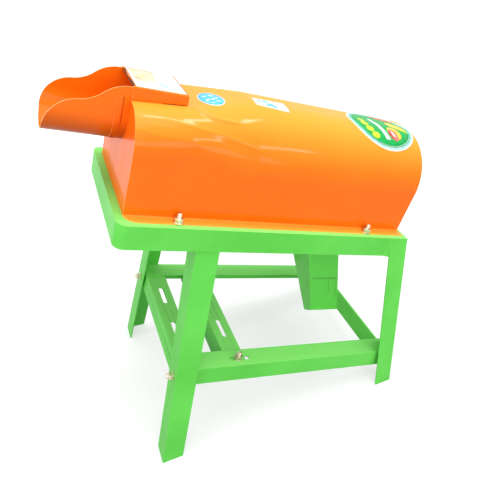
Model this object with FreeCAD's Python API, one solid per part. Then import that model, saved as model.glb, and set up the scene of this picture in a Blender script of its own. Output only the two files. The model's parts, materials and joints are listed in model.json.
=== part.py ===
import FreeCAD, Part
import math
import os

# Corn sheller: an axial rotor over a bar concave, under a folded sheet hood, on a welded angle-iron stand.
# Everything is modelled along the bed: x runs from the feed end to the cob outlet, y from the middle
# plane to the back, and z square to the bed, whose top face is z = 0. The whole machine is then tilted
# down towards the outlet and set on the floor, so that z of the finished part is up.
# All lengths are in millimetres and all angles in degrees.

# Stance
bed_tilt = 16.0
bed_height = 518.0

# Bed
bed_length = 537.0
bed_edge_margin = 9.5
angle_size = 40.0
angle_wall = 3.0
bed_corner_radius = 16.0

# Legs, their lean given as travel per unit of depth below the bed
left_leg_place = 123.4
left_leg_lean_share = 0.047
left_leg_splay_share = 0.1375
right_leg_lean_share = 0.335
right_leg_splay_share = 0.131

# Lower rails
rail_depth = 276.0
end_bar_height = 40.0
end_bar_wall = 4.0
end_bar_inset = 11.0
side_slot_length = 42.0
side_slot_start = 102.0
side_slot_gauge = 18.0
slot_width = 9.0

# Motor rails
motor_rail_gap = 2.1
motor_slot_length = 50.0
motor_slot_spread = 105.2
motor_slot_gauge = 20.0
slide_rail_offset = 97.0
rail_side_gap = 0.4
leg_bolt_inset = 12.45
leg_bolt_drop = 21.0

# Bolts, each with its nut
stud_radius = 4.0
shank_sides = 8
hole_clearance = 0.5
nut_width = 13.0
nut_height = 6.5
washer_wall = 1.6
bolt_head_height = 5.3
stud_reach = 15.5
leg_bolt_reach = 12.5

# Hood
sheet = 1.5
hood_start = 12.0
hood_end_inset = 8.0
hood_side_gap = 6.0
hood_height = 168.0
hood_crown_half = 13.5
feed_height = 147.0
feed_crown_margin = 4.7
throat_hood_height = 152.0
hood_full_place = 200.0
hood_corner_count = 6
flange_reach = 17.5
flange_corner_radius = 25.0
hood_bolt_start = 91.0
hood_bolt_end_inset = 92.0
hood_bolt_gauge = 7.2

# Throat and trough
throat_end = 91.0
throat_top = 166.5
trough_radius = 45.0
trough_axis_height = 121.5
trough_lip = 97.0
trough_floor_end = 114.0
trough_floor_height = 100.0
throat_gap = 0.3

# Rotor
rotor_axis_height = 22.0
shaft_radius = 10.0
shaft_start = 42.0
shaft_end_inset = 6.0
rotor_start = 118.0
rotor_end_inset = 99.0
tube_radius = 32.0
tube_wall = 3.0
disc_wall = 6.0
bar_count = 4
bar_width = 9.0
bar_reach = 55.0
bar_turn = 110.0
bar_sections = 11
peg_rows = 4
pegs_per_row = 7
peg_width = 10.0
peg_reach = 50.0

# Pulley
pulley_radius = 50.0
pulley_width = 20.0
pulley_start = 46.0
groove_top = 13.0
groove_depth = 10.0
groove_bottom = 6.5
hub_radius = 19.0
hub_length = 26.0
key_width = 6.0
key_depth = 3.0

# Bearings
beam_start = 72.0
bearing_width = 16.0
race_radius = 15.0
running_clearance = 0.05
housing_radius = 21.5
housing_base_half = 42.0
housing_base_height = 7.0
housing_base_width = 24.0

# Concave and cob floor
concave_radius = 78.0
concave_bar_width = 8.0
concave_bar_count = 13
concave_bar_step = 12.4
ring_wall = 6.0
ring_margin = 2.0
ring_ear_height = 8.0
concave_feed_gap = 13.0
concave_end_inset = 86.0
side_strip_gap = 2.0
side_strip_width = 11.5
side_strip_wall = 5.0

# Grain pan and spout
pan_feed_margin = 2.0
pan_end_margin = 1.0
pan_ring_gap = 0.3
pan_side_inset = 0.8
pan_side_lean = 17.2
pan_knee_rise = 17.0
pan_floor_gap = 9.7
pan_flange_reach = 12.0
spout_lean_share = 0.435
spout_end_inset = 72.8
spout_width = 70.3
spout_front = 68.5
spout_slide_top = 28.0
spout_slide_bottom = 37.6
spout_front_depth = 227.0
spout_slide_depth = 253.0
spout_seam_depth = 141.0
spout_seam_gap = 3.0
spout_lip = 8.0

# Outlet end plate
mouth_side_margin = 25.5
mouth_height = 96.0
mouth_sill = 1.5

# Cuts run past what they cut by this much
over = 5.0

tilt = math.radians(bed_tilt)

# Widths that follow the concave, from its rings outwards to the bed
ring_inner = concave_radius - concave_bar_width / 2 - ring_margin
ring_outer = concave_radius + concave_bar_width / 2 + ring_margin
side_strip_inner = ring_outer + side_strip_gap
ring_ear_reach = side_strip_inner + side_strip_width
hood_half_width = ring_ear_reach + hood_side_gap
hood_shoulder_radius = hood_half_width - hood_crown_half
feed_shoulder_radius = hood_half_width - trough_radius - throat_gap - sheet - feed_crown_margin
mouth_half_width = hood_half_width - mouth_side_margin
half_width = hood_half_width + flange_reach + bed_edge_margin
bed_width = half_width + half_width

# Places that follow the bed's length
hood_end = bed_length - hood_end_inset
shaft_end = bed_length - shaft_end_inset
rotor_end = bed_length - rotor_end_inset
rotor_length = rotor_end - rotor_start
concave_start = rotor_start + concave_feed_gap
concave_end = bed_length - concave_end_inset
hood_bolt_places = (hood_bolt_start, bed_length - hood_bolt_end_inset)

parts_folder = "parts"


def vec(x, y, z):
    return FreeCAD.Vector(x, y, z)


ORIGIN = vec(0, 0, 0)
ALONG = vec(1, 0, 0)
ACROSS = vec(0, 1, 0)
UP = vec(0, 0, 1)


def box(x0, x1, y0, y1, z0, z1):
    return Part.makeBox(x1 - x0, y1 - y0, z1 - z0, vec(x0, y0, z0))


def rod(start, direction, radius, length):
    return Part.makeCylinder(radius, length, start, direction)


def ring(start, direction, outer, inner, length):
    return rod(start, direction, outer, length).cut(rod(start, direction, inner, length))


def prism(points, travel):
    """A polygon swept along a vector, which need not be square to it."""
    return Part.Face(Part.makePolygon([vec(*p) for p in points + points[:1]])).extrude(travel)


def flat_sided(centre, direction, corner, sides, height):
    """A prism with equal sides on a bed-aligned direction, sized by its corners."""
    across = ACROSS if abs(direction.y) < abs(direction.z) + abs(direction.x) else UP
    other = direction.cross(across)
    points = []
    for step in range(sides):
        turn = 2 * math.pi * step / sides
        points.append(centre + across * (corner * math.cos(turn)) + other * (corner * math.sin(turn)))
    return Part.Face(Part.makePolygon(points + points[:1])).extrude(direction * height)


def hexagon(centre, direction, across_flats, height):
    return flat_sided(centre, direction, across_flats / math.sqrt(3), 6, height)


def obround(x0, x1, y0, y1, z0, z1):
    """A slot through a flat flange, round at the ends of its longer side."""
    radius = min(x1 - x0, y1 - y0) / 2
    depth = z1 - z0
    if x1 - x0 > y1 - y0:
        ends = [(x0 + radius, y0 + radius), (x1 - radius, y0 + radius)]
        body = box(x0 + radius, x1 - radius, y0, y1, z0, z1)
    else:
        ends = [(x0 + radius, y0 + radius), (x0 + radius, y1 - radius)]
        body = box(x0, x1, y0 + radius, y1 - radius, z0, z1)
    for x, y in ends:
        body = body.fuse(rod(vec(x, y, z0), UP, radius, depth))
    return body.removeSplitter()


def stud(seat, direction, grip, reach):
    """A stud of few sides, in one solid with the washer and nut past its grip."""
    shank = flat_sided(seat, direction, stud_radius, shank_sides, grip + reach)
    nut = hexagon(seat + direction * grip, direction, nut_width, washer_wall + nut_height)
    return shank.fuse(nut).removeSplitter()


def bolt(seat, direction, grip, reach):
    """A stud with a head that bears at the seat."""
    head = hexagon(seat - direction * bolt_head_height, direction, nut_width, bolt_head_height)
    return stud(seat, direction, grip, reach).fuse(head).removeSplitter()


def mirror(shape):
    return shape.mirror(ORIGIN, ACROSS)


def both_sides(shape):
    return [shape, mirror(shape)]


def place(shape):
    """Tilts a bed-aligned shape and lifts it to its height over the floor."""
    out = shape.copy()
    out.rotate(ORIGIN, ACROSS, bed_tilt)
    out.translate(vec(-middle_place, 0, bed_height))
    return out


def tilted_place(x, z):
    """Where a point of the bed's middle plane comes along the floor."""
    return x * math.cos(tilt) + z * math.sin(tilt)


# The origin lies on the floor under the middle of the machine's overall length.
lip_place = tilted_place(-trough_lip, trough_axis_height - trough_radius)
hood_place = tilted_place(hood_end, hood_height)
middle_place = (lip_place + hood_place) / 2

made = {}


def keep(name, solids):
    """Writes one node. Solids that touch or repeat stay separate inside it."""
    shapes = []
    for solid in solids if isinstance(solids, list) else [solids]:
        shapes.extend(place(solid).Solids)
    whole = shapes[0] if len(shapes) == 1 else Part.makeCompound(shapes)
    if not whole.isValid():
        print("not valid:", name)
    made[name] = whole
    whole.exportStep(os.path.join(parts_folder, name + ".step"))


def keep_placed(name, whole):
    """Writes a node that is already tilted and cut to the floor."""
    if not whole.isValid():
        print("not valid:", name)
    made[name] = whole
    whole.exportStep(os.path.join(parts_folder, name + ".step"))


def angle_iron(x0, x1, y_outer, z_top, side):
    """Angle along x: its upright flange outside, its flat flange on top and pointing inwards."""
    inner = y_outer - side * angle_size
    wall = y_outer - side * angle_wall
    flat = box(x0, x1, min(inner, y_outer), max(inner, y_outer), z_top - angle_wall, z_top)
    upright = box(x0, x1, min(wall, y_outer), max(wall, y_outer), z_top - angle_size, z_top)
    return flat.fuse(upright).removeSplitter()


def cross_angle(x0, y_half, z_top, upright_left):
    """Angle across the machine: its flat flange on top, its upright flange at one edge."""
    x1 = x0 + angle_size
    flat = box(x0, x1, -y_half, y_half, z_top - angle_wall, z_top)
    edge = x0 if upright_left else x1 - angle_wall
    upright = box(edge, edge + angle_wall, -y_half, y_half, z_top - angle_size, z_top)
    return flat.fuse(upright).removeSplitter()


# Legs

left_leg_face = half_width - angle_wall


def leg_prism(x, y, z, lean, splay, toward_x, size, wall, drop):
    """The angle or, with wall equal to size, the full square envelope of a front leg."""
    corner = (x, y, z)
    if wall >= size:
        points = [(x, y, z), (x + toward_x * size, y, z), (x + toward_x * size, y + size, z), (x, y + size, z)]
    else:
        points = [
            corner,
            (x + toward_x * size, y, z),
            (x + toward_x * size, y + wall, z),
            (x + toward_x * wall, y + wall, z),
            (x + toward_x * wall, y + size, z),
            (x, y + size, z),
        ]
    return prism(points, vec(lean * drop, -splay * drop, -drop))


def left_leg_corner(depth):
    """Outer corner line of the front left leg at a depth below the bed's top face."""
    run = depth - angle_size
    x = left_leg_place + left_leg_lean_share * depth
    return x, -(left_leg_face + left_leg_splay_share * run)


def right_leg_corner(depth):
    run = depth - angle_wall
    return bed_length + right_leg_lean_share * run, -(half_width + right_leg_splay_share * run)


leg_top = angle_wall
leg_drop = bed_height / math.cos(tilt)


def left_leg(wall):
    x, y = left_leg_corner(leg_top)
    return leg_prism(x, y, -leg_top, left_leg_lean_share, left_leg_splay_share, 1, angle_size, wall, leg_drop)


def right_leg(wall):
    x, y = right_leg_corner(leg_top)
    return leg_prism(x, y, -leg_top, right_leg_lean_share, right_leg_splay_share, -1, angle_size, wall, leg_drop)


def floor_block():
    reach = bed_length + bed_width
    return box(-reach, reach, -reach, reach, -reach, 0)


def make_legs():
    below = floor_block()
    bolt_hole = leg_bolt_hole()
    front_left = left_leg(angle_wall).cut(bolt_hole)
    front_right = right_leg(angle_wall)
    keep_placed("front_left_leg", place(front_left).cut(below))
    keep_placed("back_left_leg", place(mirror(front_left)).cut(below))
    keep_placed("front_right_leg", place(front_right).cut(below))
    keep_placed("back_right_leg", place(mirror(front_right)).cut(below))


# Bed

def make_bed():
    """The bed rail is one angle bent round the feed end; a straight angle closes the outlet end."""
    outer = box(0, bed_length, -half_width, half_width, -angle_size, 0)
    corners = [e for e in outer.Edges if abs(e.BoundBox.XMax) < angle_wall and e.BoundBox.ZLength > angle_wall]
    outer = outer.makeFillet(bed_corner_radius, corners)
    inner_half = half_width - angle_wall
    inner = box(angle_wall, bed_length + over, -inner_half, inner_half, -angle_size - over, -angle_wall)
    corners = [e for e in inner.Edges if e.BoundBox.XMax < angle_wall + over and e.BoundBox.ZLength > angle_wall]
    inner = inner.makeFillet(bed_corner_radius - angle_wall, corners)
    hole_half = half_width - angle_size
    hole = box(angle_size, bed_length + over, -hole_half, hole_half, -angle_wall - over, over)
    rail = outer.cut(inner).cut(hole)
    envelope = right_leg(angle_size)
    rail = rail.cut(envelope).cut(mirror(envelope))
    rail = rail.cut(box(bed_length - angle_size, bed_length + over, -half_width - over, half_width + over,
                        -angle_size - over, -angle_wall))
    keep("bed_frame", rail.removeSplitter())
    keep("bed_end_rail", cross_angle(bed_length - angle_size, hole_half, 0, False))
    keep("bearing_beam", cross_angle(beam_start, hole_half, 0, False))


hood_bolt_line = -(hood_half_width + hood_bolt_gauge + stud_radius)
left_bearing_place = beam_start + angle_size / 2
right_bearing_place = bed_length - angle_size / 2


# Lower rails

rail_face = -left_leg_corner(rail_depth)[1] - angle_wall
rail_start = left_leg_corner(rail_depth + angle_size)[0] + angle_wall
rail_end = right_leg_corner(rail_depth)[0] - angle_wall
slot_line = rail_face - side_slot_gauge


def side_slot():
    middle = -slot_line
    x0 = rail_start + side_slot_start
    return obround(x0, x0 + side_slot_length, middle - slot_width / 2, middle + slot_width / 2,
                   -rail_depth - angle_wall - over, -rail_depth + over)


def make_lower_rails():
    front = angle_iron(rail_start, rail_end, -rail_face, -rail_depth, -1).cut(side_slot())
    keep("lower_front_rail", front)
    keep("lower_back_rail", mirror(front))
    bar_x = rail_end - end_bar_inset
    half = rail_face - angle_size
    keep("lower_end_bar", box(bar_x, bar_x + end_bar_wall, -half, half,
                              -rail_depth - end_bar_height, -rail_depth))


# Motor rails

motor_top = -rail_depth - angle_wall
motor_half = rail_face - angle_wall - rail_side_gap
motor_start = left_leg_corner(rail_depth + angle_size + angle_size)[0] + angle_wall
slide_start = rail_start + slide_rail_offset
slide_bolt_place = slide_start + motor_slot_gauge + stud_radius
leg_bolt_height = motor_top - leg_bolt_drop
leg_bolt_place = rail_face - leg_bolt_inset


def motor_slots(x0, top):
    middle = x0 + motor_slot_gauge
    slots = []
    for side in (-1, 1):
        y = side * motor_slot_spread / 2
        slots.append(obround(middle - slot_width / 2, middle + slot_width / 2, y - motor_slot_length / 2,
                             y + motor_slot_length / 2, top - angle_wall - over, top + over))
    return slots


def leg_bolt_hole():
    x = left_leg_corner(rail_depth)[0]
    return rod(vec(x - angle_size, -leg_bolt_place, leg_bolt_height), ALONG,
               stud_radius + hole_clearance, angle_size + angle_size)


def make_motor_rails():
    fixed = cross_angle(motor_start, motor_half, motor_top, True)
    for slot in motor_slots(motor_start, motor_top):
        fixed = fixed.cut(slot)
    for hole in both_sides(leg_bolt_hole()):
        fixed = fixed.cut(hole)
    keep("left_motor_rail", fixed)

    slide_top = motor_top - running_clearance
    sliding = cross_angle(slide_start, motor_half, slide_top, True)
    for slot in motor_slots(slide_start, slide_top):
        sliding = sliding.cut(slot)
    for hole in both_sides(rod(vec(slide_bolt_place, -slot_line, slide_top - angle_wall - over), UP,
                               stud_radius + hole_clearance, angle_wall + over + over)):
        sliding = sliding.cut(hole)
    keep("sliding_motor_rail", sliding)

    under = slide_top - angle_wall
    grip = -rail_depth + running_clearance - under
    keep("slide_bolts", both_sides(bolt(vec(slide_bolt_place, -slot_line, under), UP, grip, stud_reach)))


def make_leg_bolts():
    """Bolts that hold the fixed motor rail to the side flanges of the feed-end legs, nuts outwards."""
    high = -leg_bolt_height - nut_width / math.sqrt(3)
    outside = left_leg_corner(high)[0] - running_clearance
    inside = motor_start + angle_wall
    seat = vec(inside, -leg_bolt_place, leg_bolt_height)
    keep("leg_bolts", both_sides(bolt(seat, -ALONG, inside - outside, leg_bolt_reach)))


# Hood

def hood_corners(x, half, height, radius, strips):
    """The quarter rounds of both shoulders at one place along the bed, each in as many arcs as strips."""
    corners = []
    for centre, first in ((radius - half, 0), (half - radius, 90)):
        for k in range(strips):
            turns = [math.radians(first + 90 * (k + share) / strips) for share in (0, 0.5, 1)]
            points = [vec(x, centre - radius * math.cos(t), height - radius + radius * math.sin(t)) for t in turns]
            corners.append(Part.Arc(*points).toShape())
    return corners


def hood_section(x, half, height, radius, foot, strips=1):
    """Outline of the hood at one place along the bed, as one closed wire."""
    low = height - radius
    flat = half - radius
    corners = hood_corners(x, half, height, radius, strips)
    edges = [Part.makeLine(vec(x, -half, foot), vec(x, -half, low))]
    edges += corners[:strips]
    edges.append(Part.makeLine(vec(x, -flat, height), vec(x, flat, height)))
    edges += corners[strips:]
    edges.append(Part.makeLine(vec(x, half, low), vec(x, half, foot)))
    edges.append(Part.makeLine(vec(x, half, foot), vec(x, -half, foot)))
    return Part.Wire(edges)


def flat_face(corners):
    return Part.Face(Part.makePolygon(corners + corners[:1]))


def closed_solid(faces):
    shell = Part.Shell(faces)
    shell.sewShape()
    solid = Part.Solid(shell)
    if solid.Volume < 0:
        solid.reverse()
    return solid


def hood_rise(half, near, far, foot):
    """The filled part of the hood between two sections, each a place, a height and a shoulder radius."""
    faces = []
    outlines = []
    for x, height, radius in (near, far):
        faces.append(Part.Face(hood_section(x, half, height, radius, foot, hood_corner_count)))
        outlines.append((hood_corners(x, half, height, radius, hood_corner_count),
                         [(-half, foot), (-half, height - radius)], [(radius - half, height), (half - radius, height)],
                         [(half, height - radius), (half, foot)], x))
    start, end = outlines
    for first, second in zip(start[0], end[0]):
        faces.append(Part.makeRuledSurface(first, second))
    flats = [start[k] + list(reversed(end[k])) for k in (1, 2, 3)]
    flats.append([(half, foot), (-half, foot), (-half, foot), (half, foot)])
    for outline in flats:
        places = (start[4], start[4], end[4], end[4])
        faces.append(flat_face([vec(x, y, z) for x, (y, z) in zip(places, outline)]))
    return closed_solid(faces)


def hood_body(inset, foot):
    """The filled hood, drawn in by a sheet's thickness for its inside."""
    half = hood_half_width - inset
    feed_radius = feed_shoulder_radius - inset
    full_radius = hood_shoulder_radius - inset
    face = Part.Face(hood_section(hood_start, half, feed_height - inset, feed_radius, foot - over))
    body = face.extrude(vec(throat_end - hood_start, 0, throat_hood_height - feed_height))
    body = body.cut(box(hood_start - over, throat_end + over, -half - over, half + over, foot - bed_width, foot))
    body = body.fuse(hood_rise(half, (throat_end, throat_hood_height - inset, feed_radius),
                               (hood_full_place, hood_height - inset, full_radius), foot))
    full = Part.Face(hood_section(hood_full_place, half, hood_height - inset, full_radius, foot))
    return body.fuse(full.extrude(vec(hood_end - hood_full_place, 0, 0)))


def hood_flange():
    """Foot flange along the front, with the feed end rounded off."""
    outer = -(hood_half_width + flange_reach)
    inner = -hood_half_width + sheet
    strip = box(hood_start, hood_end, outer, inner, 0, sheet)
    corner = [e for e in strip.Edges
              if e.BoundBox.ZLength > sheet / 2 and e.BoundBox.XMax < hood_start + sheet
              and e.BoundBox.YMax < outer + sheet]
    strip = strip.makeFillet(min(flange_corner_radius, flange_reach + sheet - running_clearance), corner)
    for x in hood_bolt_places:
        strip = strip.cut(rod(vec(x, hood_bolt_line, -over), UP, stud_radius + hole_clearance, over + over))
    return strip


def make_hood():
    outer = hood_body(0, 0)
    inner = hood_body(sheet, -over)
    shell = outer.cut(inner)
    opening = box(hood_start - over, throat_end - sheet, -trough_radius - throat_gap, trough_radius + throat_gap,
                  trough_axis_height, hood_height + over)
    shell = shell.cut(opening)
    for strip in both_sides(hood_flange()):
        shell = shell.fuse(strip)
    keep("hood", shell.removeSplitter())

    half = trough_radius + throat_gap + sheet
    throat = box(hood_start, throat_end, -half, half, trough_axis_height, throat_top)
    room = box(hood_start - over, throat_end - sheet, -half + sheet, half - sheet, 0, throat_top - sheet)
    keep("throat_box", throat.cut(room).cut(outer))

    plate = Part.Face(hood_section(hood_start, hood_half_width - sheet, feed_height - sheet,
                                   feed_shoulder_radius - sheet, 0)).extrude(vec(sheet, 0, 0))
    keep("feed_end_plate", plate.cut(trough_envelope(0)).removeSplitter())

    plate = Part.Face(hood_section(hood_end - sheet, hood_half_width - sheet, hood_height - sheet,
                                   hood_shoulder_radius - sheet, mouth_sill)).extrude(vec(sheet, 0, 0))
    mouth = Part.Face(hood_section(hood_end - sheet - over, mouth_half_width, mouth_height,
                                   mouth_half_width / 2, mouth_sill - over)).extrude(vec(over + over, 0, 0))
    keep("outlet_end_plate", plate.cut(mouth))


def make_hood_bolts():
    """Studs welded to the bed, with the nuts that hold the hood's flanges down."""
    studs = []
    for x in hood_bolt_places:
        studs += both_sides(stud(vec(x, hood_bolt_line, 0), UP, sheet, stud_reach))
    keep("hood_bolts", studs)


# Trough

def trough_envelope(inset):
    """The filled trough: a half round floor with upright sides above it."""
    radius = trough_radius - inset
    length = trough_lip + trough_floor_end
    floor = rod(vec(-trough_lip, 0, trough_axis_height), ALONG, radius, length)
    sides = box(-trough_lip, trough_floor_end, -radius, radius, trough_axis_height, throat_top + over)
    return floor.fuse(sides)


# Ogee edge of the trough's sides: shares of the length from throat to lip, and of the height from floor to top
edge_shares = ((0.0, 1.0), (0.17, 0.965), (0.34, 0.84), (0.455, 0.745), (0.62, 0.69), (0.885, 0.52), (0.995, 0.11))


def make_trough():
    low = trough_axis_height - trough_radius
    span = throat_top - sheet - low
    reach = hood_start + trough_lip
    points = [vec(hood_start - along * reach, 0, low + up * span) for along, up in edge_shares]
    edges = [Part.Arc(points[i], points[i + 1], points[i + 2]).toShape() for i in (0, 2, 4)]
    foot = vec(-trough_lip, 0, low - over)
    back = vec(throat_end - sheet - throat_gap, 0, points[0].z)
    below = vec(back.x, 0, foot.z)
    for near, far in ((points[-1], vec(-trough_lip, 0, points[-1].z)),
                      (vec(-trough_lip, 0, points[-1].z), foot), (foot, below), (below, back), (back, points[0])):
        edges.append(Part.makeLine(near, far))
    face = Part.Face(Part.Wire(edges))
    side = face.extrude(vec(0, bed_width, 0))
    side.translate(vec(0, -half_width, 0))
    side = side.fuse(box(back.x - over, trough_floor_end, -half_width, half_width, foot.z, trough_floor_height))
    channel = trough_envelope(0).cut(trough_envelope(sheet))
    keep("feed_trough", channel.common(side).removeSplitter())


# Rotor

def axis_point(x):
    return vec(x, 0, rotor_axis_height)


def radial(turn):
    return vec(0, math.sin(turn), math.cos(turn))


def flat_solid(rings):
    """A solid between rings of four corners each, its sides made of flat triangles."""
    faces = [flat_face(rings[0]), flat_face(rings[-1])]
    for near, far in zip(rings[:-1], rings[1:]):
        for k in range(len(near)):
            j = (k + 1) % len(near)
            faces.append(flat_face([near[k], near[j], far[j]]))
            faces.append(flat_face([near[k], far[j], far[k]]))
    return closed_solid(faces)


def radial_block(x, turn, inner, outer, half_along, half_across):
    """A block that stands out from the rotor's axis, square to it."""
    out = radial(turn)
    side = ALONG.cross(out) * half_across
    along = ALONG * half_along
    foot = axis_point(x) + out * inner
    corners = [foot - along - side, foot + along - side, foot + along + side, foot - along + side]
    return flat_face(corners).extrude(out * (outer - inner))


def helical_bar(start_turn):
    """A flat bar on edge, twisted round the tube and clear of it by no more than its weld."""
    step = math.radians(bar_turn) / (bar_sections - 1)
    inner = tube_radius / math.cos(step / 2) + running_clearance
    rings = []
    for section in range(bar_sections):
        out = radial(start_turn + step * section)
        side = ALONG.cross(out) * (bar_width / 2)
        base = axis_point(rotor_start + rotor_length * section / (bar_sections - 1))
        rings.append([base + out * inner + side, base + out * bar_reach + side,
                      base + out * bar_reach - side, base + out * inner - side])
    return flat_solid(rings)


def make_rotor():
    keyway = box(pulley_start - over, pulley_start + hub_length, -key_width / 2, key_width / 2,
                 rotor_axis_height + shaft_radius - key_depth, rotor_axis_height + shaft_radius + over)
    shaft = rod(axis_point(shaft_start), ALONG, shaft_radius, shaft_end - shaft_start).cut(keyway)
    keep("rotor_shaft", shaft)
    drum = rod(axis_point(rotor_start), ALONG, tube_radius, rotor_length)
    room = rod(axis_point(rotor_start + disc_wall), ALONG, tube_radius - tube_wall,
               rotor_length - disc_wall - disc_wall)
    bore = rod(axis_point(rotor_start - over), ALONG, shaft_radius, rotor_length + over + over)
    keep("rotor_tube", drum.cut(room).cut(bore))
    keep("rotor_bars", [helical_bar(math.radians(360 * k / bar_count)) for k in range(bar_count)])
    pegs = []
    for row in range(peg_rows):
        for k in range(pegs_per_row):
            share = (k + 0.5) / pegs_per_row
            turn = math.radians(360 * (row + 0.5) / peg_rows + bar_turn * share)
            pegs.append(radial_block(rotor_start + rotor_length * share, turn, tube_radius, peg_reach,
                                     peg_width / 2, peg_width / 2))
    keep("rotor_pegs", pegs)


def make_pulley():
    """A cast pulley with one belt groove and a hub that stands out towards the bearing."""
    end = pulley_start + pulley_width
    middle = (pulley_start + end) / 2
    profile = [
        (pulley_start, shaft_radius), (pulley_start, pulley_radius), (middle - groove_top / 2, pulley_radius),
        (middle - groove_bottom / 2, pulley_radius - groove_depth),
        (middle + groove_bottom / 2, pulley_radius - groove_depth),
        (middle + groove_top / 2, pulley_radius), (end, pulley_radius), (end, hub_radius),
        (pulley_start + hub_length, hub_radius), (pulley_start + hub_length, shaft_radius),
    ]
    outline = Part.makePolygon([vec(x, 0, rotor_axis_height + r) for x, r in profile + profile[:1]])
    pulley = Part.Face(outline).revolve(axis_point(0), ALONG, 360)
    bottom = rotor_axis_height + shaft_radius - key_depth
    slot = box(pulley_start, pulley_start + hub_length, -key_width / 2, key_width / 2,
               bottom, bottom + key_width)
    keep("rotor_pulley", pulley.cut(slot))
    keep("pulley_key", slot)


# Bearings

def make_bearings():
    housings, inners = [], []
    for x in (left_bearing_place, right_bearing_place):
        x0 = x - bearing_width / 2
        base = box(x - housing_base_width / 2, x + housing_base_width / 2, -housing_base_half, housing_base_half,
                   0, housing_base_height)
        block = rod(axis_point(x0), ALONG, housing_radius, bearing_width)
        block = block.common(box(x0, x0 + bearing_width, -housing_base_half, housing_base_half,
                                 0, rotor_axis_height + housing_radius))
        bore = rod(axis_point(x0 - over), ALONG, race_radius, bearing_width + over + over)
        housings.append(base.fuse(block).cut(bore).removeSplitter())
        inners.append(ring(axis_point(x0), ALONG, race_radius - running_clearance, shaft_radius, bearing_width))
    keep("bearing_housings", housings)
    keep("bearing_inner_rings", inners)


# Concave

def make_concave():
    """Bars between two end rings, whose ears and side strips lie on the bed and are welded to it."""
    rings = []
    for x in (concave_start, concave_end - ring_wall):
        band = rod(axis_point(x), ALONG, ring_outer, ring_wall)
        band = band.common(box(x, x + ring_wall, -ring_outer, ring_outer,
                               rotor_axis_height - ring_outer, ring_ear_height))
        ear = box(x, x + ring_wall, -ring_ear_reach, ring_ear_reach, 0, ring_ear_height)
        body = band.fuse(ear).cut(rod(axis_point(x - over), ALONG, ring_inner, ring_wall + over + over))
        rings.append(body.removeSplitter())
    keep("concave_rings", rings)
    bars = []
    x0 = concave_start + ring_wall
    length = concave_end - ring_wall - x0
    half = concave_bar_width / 2
    first = -(concave_bar_count - 1) / 2
    for k in range(concave_bar_count):
        turn = math.radians(180 + concave_bar_step * (first + k))
        if rotor_axis_height + concave_radius * math.cos(turn) < ring_ear_height - half:
            bars.append(radial_block(x0 + length / 2, turn, concave_radius - half, concave_radius + half,
                                     length / 2, half))
    keep("concave_bars", bars)
    keep("concave_side_strips", both_sides(box(x0, x0 + length, side_strip_inner, ring_ear_reach,
                                               0, side_strip_wall)))

    shell = ring(axis_point(beam_start + angle_size), ALONG, concave_radius, concave_radius - sheet,
                 concave_start - beam_start - angle_size)
    keep("inlet_shell", shell.common(box(beam_start, concave_start, -concave_radius, concave_radius,
                                         rotor_axis_height - concave_radius, -angle_wall)))
    floor = box(concave_end, hood_end, -ring_ear_reach, ring_ear_reach, 0, sheet)
    notch = box(right_bearing_place - housing_base_width / 2 - throat_gap, hood_end + over,
                -housing_base_half - throat_gap, housing_base_half + throat_gap, -over, over)
    keep("cob_floor", floor.cut(notch))


# Grain pan and spout

pan_top = -angle_wall
pan_start = concave_start + pan_feed_margin
pan_end = concave_end - pan_end_margin
pan_half_top = ring_outer - pan_side_inset
pan_half_bottom = pan_half_top - pan_side_lean
pan_depth = ring_outer + pan_ring_gap + pan_floor_gap - rotor_axis_height
pan_knee_depth = pan_depth - pan_knee_rise
spout_left = pan_end - spout_end_inset


def pan_body(inset, rise, x0, x1):
    """The filled pan, drawn in by the sheet and raised past its top for its inside."""
    high = pan_half_top - inset
    low = pan_half_bottom - inset
    top = pan_top + rise
    bottom = inset - pan_depth
    points = [(x0, -high, top), (x0, -high, -pan_knee_depth), (x0, -low, bottom),
              (x0, low, bottom), (x0, high, -pan_knee_depth), (x0, high, top)]
    return prism(points, vec(x1 - x0, 0, 0))


def spout_left_at(depth):
    return spout_left + spout_lean_share * (depth - pan_depth)


def spout_block(outline, inset):
    """A block between the spout's leaning side planes, from an outline of depths and places across."""
    rings = []
    for side in (0, 1):
        shift = inset if side == 0 else spout_width - inset
        rings.append([vec(spout_left_at(depth) + shift, y, -depth) for depth, y in outline])
    faces = [Part.Face(Part.makePolygon(points + points[:1])) for points in rings]
    for k in range(len(outline)):
        j = (k + 1) % len(outline)
        quad = [rings[0][k], rings[0][j], rings[1][j], rings[1][k]]
        faces.append(Part.Face(Part.makePolygon(quad + quad[:1])))
    solid = Part.Solid(Part.Shell(faces))
    if solid.Volume < 0:
        solid.reverse()
    return solid


spout_slope_share = (spout_slide_top + spout_slide_bottom) / (spout_slide_depth - pan_depth)


def spout_outer():
    """The spout's outside: its back is a slide that ends lower than its front."""
    return spout_block([(pan_depth, -spout_front), (spout_front_depth, -spout_front),
                        (spout_slide_depth, -spout_slide_bottom), (pan_depth, spout_slide_top)], 0)


def spout_room():
    """The room inside, run past the top and past the slanted mouth."""
    top = pan_depth - over
    front = sheet - spout_front
    low = pan_depth + (spout_slide_top - sheet - sheet - front) / spout_slope_share

    def slide(depth):
        return spout_slide_top - sheet - spout_slope_share * (depth - pan_depth)

    return spout_block([(top, front), (low, front), (low, slide(low)), (top, slide(top))], sheet)


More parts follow.
